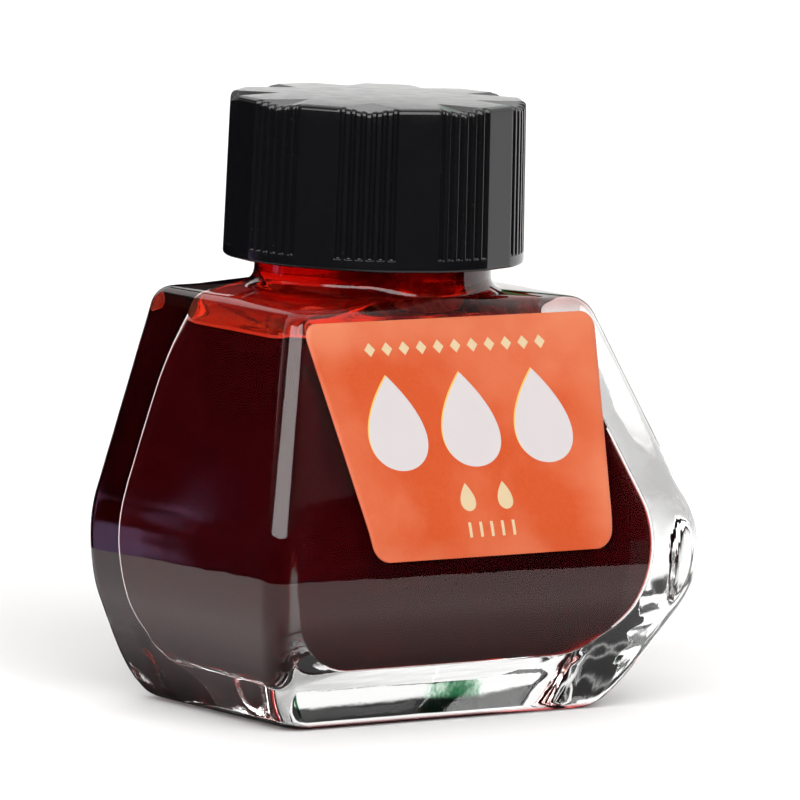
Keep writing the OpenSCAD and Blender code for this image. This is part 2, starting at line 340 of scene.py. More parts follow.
# ================================================================ glass bottle
def foot_rings():
    """From the middle of the hollow foot out to the standing ring."""
    foot = body_section(0.0, BASE_ROUND)
    inner = body_section(0.0, BASE_ROUND + FOOT_RING)
    rings = [shrunk(inner, s, FOOT_RECESS) for s in (0.02, 0.4, 0.8, 0.95)]
    rings += [shrunk(inner, 0.985, FOOT_RECESS * 0.9), inner + (0, 0, FOOT_RECESS * 0.35)]
    rings += [shrunk(inner, 1.015, 0.02 * MM), shrunk(inner, 1.03, 0.0)]
    rings += [shrunk(foot, 0.985, 0.0)]
    return rings


def outer_rings():
    """From the foot up the outside, over the shoulder and its flare to the neck's root."""
    rings = foot_rings()
    for sine, cosine in quarter(7):
        z = BASE_ROUND * (1 - cosine)
        rings.append(body_section(z, BASE_ROUND * (1 - sine)))
    rings += [body_section(z) for z in body_heights()]
    start = body_section(SHOULDER_Z - SHOULDER_ROUND)
    root = circle(NECK_R, ROOT_Z)
    edge = toward(TOP_RING, root, SHOULDER_ROUND)
    flare = toward(root, TOP_RING, NECK_FLARE)
    rings += [start, *bend(start, TOP_RING, edge, 9)]
    rings += [edge + (flare - edge) * t for t in (0.1, 0.5, 0.9)]
    rings += [flare, *bend(flare, root, circle(NECK_R, ROOT_Z + NECK_FLARE), 9)]
    return rings


def bore_heights():
    """Heights of the rings down the mouth's bore."""
    return np.linspace(NECK_TOP - 1.5 * MM, CEILING_Z + MOUTH_FILLET + 0.2 * MM, 9)


def neck_rings():
    """Up the neck with its thread, over the lip and down the bore."""
    rings = []
    for z in np.arange(ROOT_Z + NECK_FLARE + 0.3 * MM, NECK_TOP - LIP_ROUND, 0.3 * MM):
        stand = ridge_height(AZIMUTHS, z, NECK_THREAD_Z, 0.0, NECK_TURNS, NECK_RIDGE)
        rings.append(circle(NECK_R + (THREAD_R - NECK_R) * stand, z))
    lip = [(NECK_R - LIP_ROUND * (1 - c), NECK_TOP - LIP_ROUND * (1 - s)) for s, c in quarter(5)]
    bore = [(MOUTH_R + LIP_ROUND * (1 - s), NECK_TOP - LIP_ROUND * (1 - c)) for s, c in quarter(5)]
    rings += [circle(r, z) for r, z in lip + bore]
    return rings + [circle(MOUTH_R, z) for z in bore_heights()]


FLOOR_SHARES = (0.97, 0.7, 0.4, 0.15, 0.02)          # the flat floor's rings, shrunk so far


def chamber_rings():
    """From the mouth's lower end, across the ceiling and down the chamber to its floor."""
    mouth = circle(MOUTH_R, CEILING_Z)
    edge = chamber_section(CEILING_Z)
    inner = toward(mouth, edge, MOUTH_FILLET)
    rings = bend(circle(MOUTH_R, CEILING_Z + MOUTH_FILLET), mouth, inner, 8)
    rings += [inner + (edge - inner) * t for t in (0.33, 0.67)]
    for sine, cosine in quarter(12):
        rings.append(chamber_section(CEILING_Z - CEILING_ROUND * (1 - cosine)))
    heights = list(np.linspace(CEILING_Z - CEILING_ROUND - 0.4 * MM, KNEE_Z + 7 * MM, 14))
    heights += list(np.arange(KNEE_Z + 6.5 * MM, FLOOR_WALL + CHAMBER_ROUND, -0.5 * MM))
    heights += [FLOOR_WALL + CHAMBER_ROUND * (1 - sine) for sine, cosine in quarter(20)]
    rings += [chamber_section(z) for z in heights]
    floor = rings[-1]
    return rings + [shrunk(floor, share, FLOOR_WALL) for share in FLOOR_SHARES]


CLEAR, STAINED, WETTED, WETTED_END = range(4)        # the glass's material slots
WETTED_END_X = 19.0 * MM         # from here the glass behind the ink has the slot WETTED_END


def is_wet(ring):
    return ring[:, 2].max() < INK_LEVEL + MENISCUS


def make_glass():
    """Body, neck and chamber as one casting."""
    outer = outer_rings() + neck_rings()
    inner = chamber_rings()
    bore = len(bore_heights())
    above_ink = sum(not is_wet(ring) for ring in inner)
    slots = [CLEAR] * (len(outer) - bore) + [STAINED] * (bore + above_ink)
    slots += [WETTED] * (len(inner) - above_ink)
    piece = closed_mesh("bottle_glass", outer + inner, slots)
    for face in piece.data.polygons:
        if face.material_index == WETTED and face.center.x > WETTED_END_X:
            face.material_index = WETTED_END
    finish_piece(piece, "bottle", "glass_bottle", "clear_glass", clear_glass(), stained_glass(),
                 wetted_glass("wetted_glass", 1.055, 0.08),
                 wetted_glass("wetted_end", 1.2, 0.01))


# ================================================================ ink
# the surface's rings: share of the chamber's width, and share of the climb at the wall
INK_SURFACE = ((0.985, 0.55), (0.96, 0.25), (0.92, 0.08), (0.86, 0.01), (0.5, 0), (0.02, 0))


def make_ink():
    """The chamber's shape up to the ink's level, with a surface that climbs at the wall."""
    wall = [shrunk(ring, 1 - INK_GAP / INK_REACH, ring[0, 2])
            for ring in chamber_rings() if is_wet(ring)]
    for ring in wall[-1 - len(FLOOR_SHARES):]:
        ring[:, 2] = FLOOR_WALL + INK_GAP
    contact = wall[0]
    contact[:, 2] -= INK_GAP
    climb = contact[0, 2] - INK_LEVEL
    surface = [shrunk(contact, share, INK_LEVEL + climb * part) for share, part in INK_SURFACE]
    piece = closed_mesh("ink_liquid", wall[::-1] + surface)
    finish_piece(piece, "bottle", "ink", "red_ink", liquid_ink())


# ================================================================ label
def make_label():
    """A thin sheet that follows the front face."""
    def half(z):
        share = (z - label_low.z) / (label_high.z - label_low.z)
        width = LABEL_HALF_BOTTOM + (LABEL_HALF_TOP - LABEL_HALF_BOTTOM) * share
        for d in (label_high.z - z, z - label_low.z):
            if d < LABEL_CORNER:
                width -= LABEL_CORNER - math.sqrt(LABEL_CORNER ** 2 - (LABEL_CORNER - d) ** 2)
        return width

    edge = [LABEL_CORNER * (1 - cosine) for _, cosine in quarter(10)]
    heights = [label_low.z + d for d in edge]
    plain = np.linspace(label_low.z + LABEL_CORNER, label_high.z - LABEL_CORNER, LABEL_ROWS)
    heights += list(plain[1:-1])
    heights += [label_high.z - d for d in edge[::-1]]
    across = np.linspace(-1, 1, LABEL_COLUMNS)
    rings = []
    for z in heights:
        wide = half(z)
        inner = -reach(z, FRONTS) - LABEL_GAP
        outer = inner - LABEL_THICKNESS
        row = [(x * (wide - LABEL_SOFT), outer, z) for x in across]
        row += [(wide, outer + LABEL_SOFT, z), (wide, inner, z)]
        row += [(x * wide, inner, z) for x in across[-2:0:-1]]
        row += [(-wide, inner, z), (-wide, outer + LABEL_SOFT, z)]
        rings.append(np.array(row))
    piece = closed_mesh("label_sheet", rings)
    finish_piece(piece, "bottle", "front_label", "orange_label", printed_paper())


# ================================================================ cap
CAP_POINTS = 1080
CAP_ANGLES = np.arange(CAP_POINTS) * 2 * math.pi / CAP_POINTS


def group_offset():
    """Each angle's distance from the middle of its grip group, and the pitch of the groups."""
    step = 2 * math.pi / GRIP_GROUPS
    return (CAP_ANGLES - FIRST_GROUP + step / 2) % step - step / 2, step


def groove_depths(z):
    """How deep the grip grooves are at height z, for each angle."""
    offset, _ = group_offset()
    foot = cap_low.z + GROOVE_FOOT
    rise = min(max((z - foot) / GROOVE_END, 0), 1)
    index = np.round(offset / GROOVE_STEP - 0.5) + 0.5
    index = np.clip(index, -(GROOVES_PER_GROUP - 1) / 2, (GROOVES_PER_GROUP - 1) / 2)
    away = np.abs(offset - index * GROOVE_STEP) * CAP_RIM_R
    profile = np.clip((GROOVE_WIDTH / 2 + GROOVE_LIP - away) / GROOVE_SOFT, 0, 1)
    return GROOVE_DEPTH * rise * profile * profile * (3 - 2 * profile)


def cap_outline(z):
    """The cap's radius at height z for each angle, with its flats and grooves."""
    share = (z - cap_low.z) / (CAP_TOP - cap_low.z)
    radius = CAP_RIM_R + (CAP_TOP_R - CAP_RIM_R) * share
    offset, step = group_offset()
    half_flat = (step - GROOVES_PER_GROUP * GROOVE_STEP) / 2
    to_flat = np.abs(np.abs(offset) - step / 2)
    flat = radius * math.cos(half_flat) / np.cos(np.minimum(to_flat, half_flat))
    outline = np.where(to_flat < half_flat, flat, radius)
    return outline - groove_depths(z)


def top_height(x, y):
    """The cap's slightly domed top face with its shallow wedge cuts."""
    z = CAP_TOP - CAP_DOME * (x * x + y * y) / CAP_TOP_R ** 2
    slope = WEDGE_DEPTH / (CAP_TOP_R * (1 - WEDGE_APEX))
    spread = math.sin(GROOVES_PER_GROUP * GROOVE_STEP / 2) / (1 - WEDGE_APEX)
    for group in range(GRIP_GROUPS):
        a = FIRST_GROUP + group * 2 * math.pi / GRIP_GROUPS
        along = x * math.cos(a) + y * math.sin(a) - CAP_TOP_R * WEDGE_APEX
        beside = np.abs(y * math.cos(a) - x * math.sin(a))
        inside = np.maximum(along - beside / spread, 0)
        z = z - slope * inside
    return z


def cap_ring(radius, z):
    return circle(radius, z, CAP_ANGLES)


def cap_top_rings():
    """From the middle of the top face out and round its edge."""
    rings = []
    outer_top = cap_outline(CAP_TOP)
    for share in (*np.linspace(0.01, 0.6, 8), *np.linspace(0.64, 0.95, 26)):
        ring = cap_ring(share * (outer_top - CAP_EDGE * share), 0.0)
        ring[:, 2] = top_height(ring[:, 0], ring[:, 1])
        rings.append(ring)
    edge_z = top_height(*cap_ring(outer_top - CAP_EDGE, 0.0).T[:2])
    for sine, cosine in quarter(8):
        ring = cap_ring(outer_top - CAP_EDGE * (1 - sine), 0.0)
        ring[:, 2] = edge_z - CAP_EDGE * (1 - cosine)
        rings.append(ring)
    return rings


def cap_side_rings():
    """Down the grooved side and round the rim to the bore."""
    foot = cap_low.z + GROOVE_FOOT
    heights = list(np.linspace(CAP_TOP - 1.9 * MM, foot + 0.5 * MM, 12))
    heights += [foot + lift * MM for lift in (0.2, 0.07, 0.05, 0.02, 0.0, -0.05)]
    heights += [cap_low.z + 0.6 * MM, cap_low.z + 0.3 * MM]
    rings = [cap_ring(cap_outline(z), z) for z in heights]
    rim = cap_outline(cap_low.z)
    for inset, lift in ((0.05, 0.12), (0.15, 0.03), (0.3, 0.0)):
        rings.append(cap_ring(rim - inset * MM, cap_low.z + lift * MM))
    for stand, lift in ((0.3, 0.0), (0.15, 0.03), (0.05, 0.12), (0.0, 0.3)):
        rings.append(cap_ring(SKIRT_BORE_R + stand * MM, cap_low.z + lift * MM))
    return rings


def cap_inside_rings():
    """Up the threaded bore to the liner's seat and in to the middle of the roof."""
    roof_z = CAP_TOP - CAP_ROOF
    seat_z = roof_z - LINER_SEAT_DEPTH
    rings = []
    for z in np.arange(cap_low.z + 0.6 * MM, seat_z - 0.2 * MM, 0.3 * MM):
        stand = ridge_height(CAP_ANGLES, z, NECK_THREAD_Z - PITCH / 2, CAP_THREAD_LEAD,
                             CAP_TURNS, CAP_RIDGE)
        rings.append(cap_ring(SKIRT_BORE_R - (SKIRT_BORE_R - CAP_THREAD_R) * stand, z))
    rings.append(cap_ring(SKIRT_BORE_R, seat_z - 0.05 * MM))
    rings.append(cap_ring(SKIRT_BORE_R - 0.05 * MM, seat_z))
    rings += [cap_ring(LINER_SEAT_R, seat_z + 0.03 * MM), cap_ring(LINER_SEAT_R, roof_z)]
    return rings + [cap_ring(s * LINER_SEAT_R, roof_z) for s in (0.98, 0.6, 0.02)]


def make_cap():
    rings = cap_top_rings() + cap_side_rings() + cap_inside_rings()
    piece = closed_mesh("cap_shell", rings[::-1])
    finish_piece(piece, "cap", "screw_cap", "black_cap", moulded_plastic())


LINER_ROUND = 0.15 * MM


def make_liner():
    """The foam disc in the cap, with soft edges."""
    radius = liner_high.x - NECK_X
    low, high = liner_low.z, liner_high.z
    profile = [(0.02, low), (0.6, low), (0.66, low), (0.98, low), (1.0, low + LINER_ROUND),
               (1.0, high - LINER_ROUND), (0.98, high), (0.02, high)]
    rings = [circle(share * radius, z, CAP_ANGLES[::8]) for share, z in profile]
    piece = closed_mesh("liner_disc", rings)
    finish_piece(piece, "liner", "cap_liner", "foam_liner", pressed_foam())


# ================================================================ material helpers
class Nodes:
    """A node tree that is built by nested calls. Coordinates are millimetres on the piece."""

    def __init__(self, tree):
        self.tree = tree
        tree.nodes.clear()

    def add(self, kind, values=(), **settings):
        node = self.tree.nodes.new(kind)
        for name, value in settings.items():
            setattr(node, name, value)
        for key, value in dict(values).items():
            self.put(node.inputs[key], value)
        return node

    def put(self, socket, value):
        if isinstance(value, bpy.types.NodeSocket):
            self.tree.links.new(value, socket)
        else:
            socket.default_value = value

    def math(self, operation, *values, clamp=False):
        values = dict(enumerate(values))
        node = self.add("ShaderNodeMath", values, operation=operation, use_clamp=clamp)
        return node.outputs[0]

    def product(self, *factors):
        out = factors[0]
        for factor in factors[1:]:
            out = self.math("MULTIPLY", out, factor)
        return out

    def most(self, values):
        out = values[0]
        for value in values[1:]:
            out = self.math("MAXIMUM", out, value)
        return out

    def axes(self, where):
        split = self.add("ShaderNodeSeparateXYZ", {0: where})
        return [split.outputs[k] for k in "XYZ"]

    def turn(self, x, y):
        """The direction's angle from the front, growing towards the left."""
        return self.math("ARCTAN2", self.math("MULTIPLY", x, -1.0), self.math("MULTIPLY", y, -1.0))

    def surface(self, shader, volume=None):
        output = self.add("ShaderNodeOutputMaterial", {"Surface": shader.outputs[0]})
        if volume:
            self.put(output.inputs["Volume"], volume.outputs[0])

    def place(self):
        where = self.add("ShaderNodeTexCoord").outputs["Object"]
        scaled = self.add("ShaderNodeVectorMath", {0: where, "Scale": 1 / MM}, operation="SCALE")
        return scaled.outputs[0]

    def noise(self, where, scale, detail=2.0, roughness=0.5):
        values = {"Vector": where, "Scale": scale, "Detail": detail, "Roughness": roughness}
        return self.add("ShaderNodeTexNoise", values).outputs["Fac"]

    def ramp(self, value, low, high, to_low=0.0, to_high=1.0, smooth=True):
        values = {"Value": value, 1: low, 2: high, 3: to_low, 4: to_high}
        kind = "SMOOTHSTEP" if smooth else "LINEAR"
        return self.add("ShaderNodeMapRange", values, interpolation_type=kind).outputs[0]

    def mix(self, share, one, other):
        node = self.add("ShaderNodeMix", data_type="RGBA")
        self.put(node.inputs["Factor"], share)
        self.put(node.inputs[6], one)
        self.put(node.inputs[7], other)
        return node.outputs[2]

    def bump(self, height, depth):
        values = {"Height": height, "Distance": depth * MM, "Strength": 1.0}
        return self.add("ShaderNodeBump", values).outputs[0]

    def blend(self, share, one, other):
        """A mix of two shader nodes."""
        values = {0: share, 1: one.outputs[0], 2: other.outputs[0]}
        return self.add("ShaderNodeMixShader", values)


def new_material(name):
    """The material and its empty node tree."""
    material = bpy.data.materials.new(name)
    material.use_nodes = True
    return material, Nodes(material.node_tree)


def principled(nodes, values):
    nodes.surface(nodes.add("ShaderNodeBsdfPrincipled", values))


# ================================================================ materials
def ripples(nodes, where):
    """Slow ripples of pressed glass, as a height from 0 to about 1."""
    slow = nodes.noise(where, 0.16, 1.0)
    fine = nodes.noise(where, 0.7, 2.0)
    return nodes.math("ADD", slow, nodes.math("MULTIPLY", fine, 0.12))


GLASS_TINT = (0.985, 0.995, 0.99, 1)
PAINTED_PINK_LIGHT = (0.93, 0.42, 0.38, 1)                   # a pink tint that stands in for the ink-red light seen through the shoulder: painted light
INKY_GLASS = (0.34, 0.012, 0.014, 1)
LENS_Z = 4.0                                         # middle of the base's thick stretch, in mm


def base_waves(nodes, where):
    """Waves of the far back and right walls, strong beside the thick base and faint above it."""
    x, y, z = nodes.axes(where)
    far = nodes.math("MAXIMUM", nodes.ramp(y, 6.0, 9.0), nodes.ramp(x, 15.0, 18.0, 0.0, 0.3))
    low = nodes.ramp(z, 9.5, 7.0)
    drawn = nodes.add("ShaderNodeVectorMath", {0: where, 1: (0.5, 0.5, 1.3)}, operation="MULTIPLY")
    wave = nodes.noise(drawn.outputs[0], 0.2, 0.0)
    wave = nodes.product(wave, 0.5, nodes.ramp(low, 0.0, 1.0, 0.06, 1.0))
    middle = nodes.math("SUBTRACT", z, LENS_Z)
    lens = nodes.product(middle, middle, 0.010, low)
    return nodes.math("MULTIPLY", nodes.math("ADD", wave, lens), far)


def clear_glass():
    """Smooth in front, wavy at the far sides of the thick base, inky round the neck and foot, with
    painted pink light towards the shoulder.
    """
    material, nodes = new_material("clear_glass")
    where = nodes.place()
    _, y, z = nodes.axes(where)
    smudge = nodes.noise(where, 0.35, 5.0, 0.6)
    ripple = nodes.math("MULTIPLY", ripples(nodes, where), 0.05)
    height = nodes.math("ADD", ripple, base_waves(nodes, where))
    foot = nodes.math("MULTIPLY", nodes.ramp(z, 0.9, 0.3), nodes.ramp(y, -9.0, -10.5))
    inky = nodes.math("MAXIMUM", nodes.ramp(z, 43.3, 44.4), foot)
    # painted light: the glass turns pink towards the shoulder, standing in for ink-red light seen
    # through it
    upper = nodes.mix(nodes.ramp(z, 41.0, 43.0), GLASS_TINT, PAINTED_PINK_LIGHT)
    principled(nodes, {
        "Base Color": nodes.mix(inky, upper, INKY_GLASS), "Transmission Weight": 1.0, "IOR": 1.5,
        "Roughness": nodes.ramp(smudge, 0.5, 0.8, 0.0, 0.05), "Normal": nodes.bump(height, 1.0)})
    return material


THIN_INK = (0.97, 0.2, 0.11, 1)
THICK_INK = (0.24, 0.004, 0.006, 1)


def stained_glass():
    """The inside of the neck and the ceiling, where a film of ink clings.

    The film is thin at the back and the left. It also tints what the surface mirrors, as
    separate shaders do and one Principled shader doesn't.
    """
    material, nodes = new_material("stained_glass")
    where = nodes.place()
    film = nodes.noise(where, 0.25, 4.0, 0.6)
    x, y, _ = nodes.axes(where)
    aside = nodes.math("SUBTRACT", x, nodes.math("MULTIPLY", y, 0.8))
    thick = nodes.math("MULTIPLY", nodes.ramp(film, 0.38, 0.62), nodes.ramp(aside, -11.0, -3.0))
    tint = nodes.mix(thick, THIN_INK, THICK_INK)
    normal = nodes.bump(ripples(nodes, where), 0.2)
    through = nodes.add("ShaderNodeBsdfRefraction", {
        "Color": tint, "IOR": 1.2, "Roughness": 0.0, "Normal": normal})
    mirror = nodes.add("ShaderNodeBsdfGlossy", {"Color": tint, "Roughness": 0.0, "Normal": normal})
    cling = nodes.add("ShaderNodeBsdfDiffuse", {"Color": tint})
    clear = nodes.blend(0.1, through, mirror)
    nodes.surface(nodes.blend(nodes.ramp(thick, 0.0, 1.0, 0.04, 0.4), clear, cling))
    return material


def wetted_glass(name, index, ripple):
    """Glass with ink behind it. The index is close to that of glass against ink."""
    material, nodes = new_material(name)
    principled(nodes, {
        "Base Color": (1.0, 0.99, 0.99, 1), "Transmission Weight": 1.0, "IOR": index,
        "Roughness": 0.0, "Normal": nodes.bump(ripples(nodes, nodes.place()), ripple)})
    return material


def liquid_ink():
    """Ink that is orange where thin and nearly black where deep."""
    material, nodes = new_material("liquid_ink")
    height = nodes.axes(nodes.place())[2]
    free = nodes.math("GREATER_THAN", height, (INK_LEVEL - 0.05 * MM) / MM)
    surface = nodes.add("ShaderNodeBsdfPrincipled", {
        "Base Color": (0.95, 0.06, 0.02, 1), "Transmission Weight": 0.5, "IOR": 1.42,
        "Roughness": 0.0})
    clear = nodes.add("ShaderNodeBsdfTransparent")
    cloud = nodes.add("ShaderNodeBsdfDiffuse", {"Color": (0.5, 0.012, 0.025, 1)})
    wall = nodes.blend(0.06, clear, cloud)
    absorb = nodes.add("ShaderNodeVolumeAbsorption", {
        "Color": (0.86, 0.2, 0.0, 1), "Density": 3000.0})
    nodes.surface(nodes.blend(free, wall, surface), absorb)
    return material


DROP_FULLNESS = 1.3


def drop_mask(nodes, x, z, middle, foot, height, width):
    """1 inside an ink drop that stands on its round end; width is that of its widest part."""
    up = nodes.math("DIVIDE", nodes.math("SUBTRACT", z, foot), height)
    inside = nodes.math("MAXIMUM", up, 0.0)
    taper = nodes.math("MULTIPLY", nodes.math("SUBTRACT", 1.0, inside), DROP_FULLNESS * width)
    half = nodes.math("MULTIPLY", nodes.math("SQRT", inside), taper)
    away = nodes.math("ABSOLUTE", nodes.math("SUBTRACT", x, middle))
    return nodes.ramp(nodes.math("SUBTRACT", half, away), 0.01, 0.06)


PRINT_EDGE = 0.03


def band_mask(nodes, value, low, high):
    above = nodes.ramp(value, low - PRINT_EDGE, low + PRINT_EDGE)
    below = nodes.ramp(value, high - PRINT_EDGE, high + PRINT_EDGE)
    return nodes.math("SUBTRACT", above, below)


# the print's colours, the pale orange of the painted sheen, and the print's places on the sheet in
# mm
ORANGES = (0.335, 0.043, 0.007, 1), (0.365, 0.052, 0.010, 1)
PAINTED_SHEEN_ORANGE = (0.44, 0.14, 0.07, 1)
YELLOW = (0.50, 0.30, 0.07, 1)
CREAM = (0.40, 0.31, 0.19, 1)
WHITE = (0.37, 0.342, 0.345, 1)
BIG_DROPS_X, BIG_DROPS_Z, BIG_DROP = (-9.6, -0.2, 9.2), 27.0, (9.4, 7.4)     # height and width
SMALL_DROPS_X, SMALL_DROPS_Z, SMALL_DROP = (-2.4, 2.4), 22.7, (2.8, 2.0)
YELLOW_SHIFT = (-0.13, 0.12)     # the yellow under the white is printed a little off
DOTS_Z, DOTS_STEP, DOTS_REACH = 39.0, 1.1, 12.2      # DOTS_STEP is half the distance between two
TICKS_Z, TICKS_STEP, TICKS_REACH = (20.1, 21.6), 0.7, 3.6


def print_masks(nodes, x, z):
    """Where the white, the yellow under it and the cream are printed."""
    def drops(places, foot, size, shift=(0, 0)):
        return nodes.most([drop_mask(nodes, x, z, middle + shift[0], foot + shift[1], *size)
                           for middle in places])

    white = drops(BIG_DROPS_X, BIG_DROPS_Z, BIG_DROP)
    yellow = drops(BIG_DROPS_X, BIG_DROPS_Z, BIG_DROP, YELLOW_SHIFT)
    beside = nodes.math("PINGPONG", x, DOTS_STEP)
    away = nodes.math("ADD", nodes.math("ABSOLUTE", nodes.math("SUBTRACT", z, DOTS_Z)), beside)
    dots = nodes.product(nodes.ramp(away, 0.72, 0.66), band_mask(nodes, x, -DOTS_REACH, DOTS_REACH))
    small = drops(SMALL_DROPS_X, SMALL_DROPS_Z, SMALL_DROP)
    ticks = nodes.product(nodes.ramp(nodes.math("PINGPONG", x, TICKS_STEP), 0.2, 0.16),
                          band_mask(nodes, z, *TICKS_Z),
                          band_mask(nodes, x, -TICKS_REACH, TICKS_REACH))
    return white, yellow, nodes.most([dots, small, ticks])


def printed_paper():
    """Coated orange paper with a generic print: drops, lozenges and ticks, and a painted sheen:
    paler orange towards the top and right edges and in soft clouds.
    """
    material, nodes = new_material("printed_paper")
    where = nodes.place()
    x, _, z = nodes.axes(where)
    white, yellow, cream = print_masks(nodes, x, z)
    grain = nodes.noise(where, 3.0, 6.0, 0.7)
    cloud = nodes.noise(where, 0.09, 3.0, 0.5)
    orange = nodes.mix(nodes.ramp(grain, 0.3, 0.7), *ORANGES)
    # painted sheen: the colour turns pale orange towards the top and right edges and in soft clouds
    rim = nodes.math("ADD", nodes.ramp(z, 37.0, 42.0, 0.0, 0.4), nodes.ramp(x, 8.0, 18.0, 0.0, 0.4))
    painted_sheen = nodes.math("ADD", rim, nodes.ramp(cloud, 0.35, 0.7, -0.1, 0.4), clamp=True)
    colour = nodes.mix(painted_sheen, orange, PAINTED_SHEEN_ORANGE)
    for mask, ink in ((yellow, YELLOW), (cream, CREAM), (white, WHITE)):
        colour = nodes.mix(mask, colour, ink)
    relief = nodes.math("ADD", nodes.noise(where, 0.13, 2.0), nodes.math("MULTIPLY", grain, 0.02))
    principled(nodes, {
        "Base Color": colour, "Roughness": nodes.ramp(grain, 0.3, 0.7, 0.34, 0.46),
        "IOR": 1.5, "Specular IOR Level": 0.3, "Normal": nodes.bump(relief, 0.25)})
    return material


def moulded_plastic():
    """Glossy black plastic with fine flow marks and a little dust."""
    material, nodes = new_material("moulded_plastic")
    where = nodes.place()
    flow = nodes.noise(where, 0.5, 4.0, 0.6)
    dust = nodes.noise(where, 5.0, 2.0, 0.5)
    specks = nodes.ramp(dust, 0.72, 0.78)
    colour = nodes.mix(specks, (0.003, 0.003, 0.0035, 1), (0.05, 0.05, 0.055, 1))
    height = nodes.math("ADD", nodes.product(flow, 0.6), nodes.product(dust, 0.04))
    top = CAP_TOP / MM
    smooth_top = nodes.ramp(nodes.axes(where)[2], top - 1.6, top, 1.0, 0.0)
    height = nodes.math("MULTIPLY", height, smooth_top)
    principled(nodes, {
        "Base Color": colour, "Roughness": nodes.ramp(flow, 0.3, 0.7, 0.13, 0.17),
        "IOR": 1.46, "Normal": nodes.bump(height, 0.006)})
    return material


def pressed_foam():
    """Pale closed-cell foam."""
    material, nodes = new_material("pressed_foam")
    where = nodes.place()
    cells = nodes.add("ShaderNodeTexVoronoi", {"Vector": where, "Scale": 4.0}).outputs["Distance"]
    colour = nodes.mix(nodes.ramp(cells, 0.1, 0.6), (0.6, 0.59, 0.55, 1), (0.82, 0.81, 0.77, 1))
    principled(nodes, {"Base Color": colour, "Roughness": nodes.ramp(cells, 0.0, 0.6, 0.75, 0.95),
                       "Normal": nodes.bump(cells, 0.12)})
    return material


# ================================================================ camera, floor and light
VIEW_AZIMUTH = math.radians(36.70)      # the camera stands this far round to the left of the front
VIEW_ELEVATION = math.radians(6.96)
VIEW_ROLL = math.radians(1.96)
VIEW_DISTANCE = 0.9979
LENS, SENSOR = 428.6, 36.0
TARGET_Z = 31.0 * MM
AIM_RIGHT, AIM_UP = 3.325 * MM, 0.70 * MM


def make_camera():
    forward = Vector((math.sin(VIEW_AZIMUTH) * math.cos(VIEW_ELEVATION),
                      math.cos(VIEW_AZIMUTH) * math.cos(VIEW_ELEVATION),
                      -math.sin(VIEW_ELEVATION)))
    right = Vector((math.cos(VIEW_AZIMUTH), -math.sin(VIEW_AZIMUTH), 0))
    up = right.cross(forward)
    target = Vector((NECK_X, NECK_Y, TARGET_Z))
    aim = target + right * AIM_RIGHT + up * AIM_UP
    place = target - forward * VIEW_DISTANCE
    ahead = (aim - place).normalized()
    side = ahead.cross(Vector((0, 0, 1))).normalized()
    top = side.cross(ahead)
    roll = Matrix.Rotation(VIEW_ROLL, 3, "Z")
    turn = Matrix((side, top, -ahead)).transposed() @ roll
    data = bpy.data.cameras.new("camera")
    data.lens, data.sensor_width = LENS, SENSOR
    data.clip_start, data.clip_end = 0.01, 100
    camera = bpy.data.objects.new("camera", data)
    camera.matrix_world = Matrix.Translation(place) @ turn.to_4x4()
    bpy.context.scene.collection.objects.link(camera)
    bpy.context.scene.camera = camera


def flat_square(name, size, z, material):
    s = size / 2
    mesh = bpy.data.meshes.new(name)
    mesh.from_pydata([(-s, -s, z), (s, -s, z), (s, s, z), (-s, s, z)], [], [(0, 1, 2, 3)])
    mesh.materials.append(material)
    piece = bpy.data.objects.new(name, mesh)
    bpy.context.scene.collection.objects.link(piece)
    return piece


FLOOR_SIZE = 12.0
FLOOR_Z = -0.05 * MM


def make_floor():
    material, nodes = new_material("pale_floor")
    principled(nodes, {"Base Color": (0.8, 0.8, 0.8, 1), "Roughness": 0.6,
                       "Specular IOR Level": 0.2})
    flat_square("floor", FLOOR_SIZE, FLOOR_Z, material)


CURTAIN_RADIUS = 0.10
CURTAIN_HEIGHT = 0.075
CURTAIN_LOW = 0.060              # its height behind the bottle
CURTAIN_FROM, CURTAIN_TO = math.radians(-58), math.radians(218)
CURTAIN_STEP = math.radians(170)
CURTAIN_POINTS = 93


def make_curtain():
    """A low black curtain round the camera's side, seen only in reflections."""
    points = []
    for a in np.linspace(CURTAIN_FROM, CURTAIN_TO, CURTAIN_POINTS):
        x = NECK_X - CURTAIN_RADIUS * math.sin(a)
        y = NECK_Y - CURTAIN_RADIUS * math.cos(a)
        height = CURTAIN_HEIGHT if a < CURTAIN_STEP else CURTAIN_LOW
        points += [(x, y, 0.0), (x, y, height)]
    faces = [(k, k + 1, k + 3, k + 2) for k in range(0, len(points) - 2, 2)]
    mesh = bpy.data.meshes.new("curtain")
    mesh.from_pydata(points, [], faces)
    mesh.materials.append(curtain_painted_reflection())
    curtain = bpy.data.objects.new("curtain", mesh)
    bpy.context.scene.collection.objects.link(curtain)
    only_reflected(curtain)


def only_reflected(piece):
    """Show the piece in reflections alone."""
    piece.visible_camera = False
    piece.visible_diffuse = False
    piece.visible_shadow = False
    piece.visible_transmission = False


def glow(nodes, colour, strength):
    """The surface only shines. strength may be a socket."""
    nodes.surface(nodes.add("ShaderNodeEmission", {"Color": colour, "Strength": strength}))


def curtain_painted_reflection():
    """Black, with one faint glowing violet patch: a painted reflection that the left face mirrors.
    """
    material, nodes = new_material("curtain_painted_reflection")
    where = nodes.place()
    x, y, z = nodes.axes(where)
    turn = nodes.turn(x, y)
    patch = nodes.product(nodes.ramp(turn, math.radians(129), math.radians(134)),
                          nodes.ramp(turn, math.radians(148), math.radians(141)),
                          nodes.ramp(z, 58.0, 35.0),
                          nodes.ramp(nodes.noise(where, 0.06, 1.0), 0.35, 0.6))
    # painted reflection: the violet patch glows so that the left face mirrors it
    glow(nodes, (0.45, 0.32, 0.62, 1), nodes.ramp(patch, 0, 1, 0.004, 1.5))
    return material


APRON_Z = 0.05 * MM
APRON_SIZE = 0.2


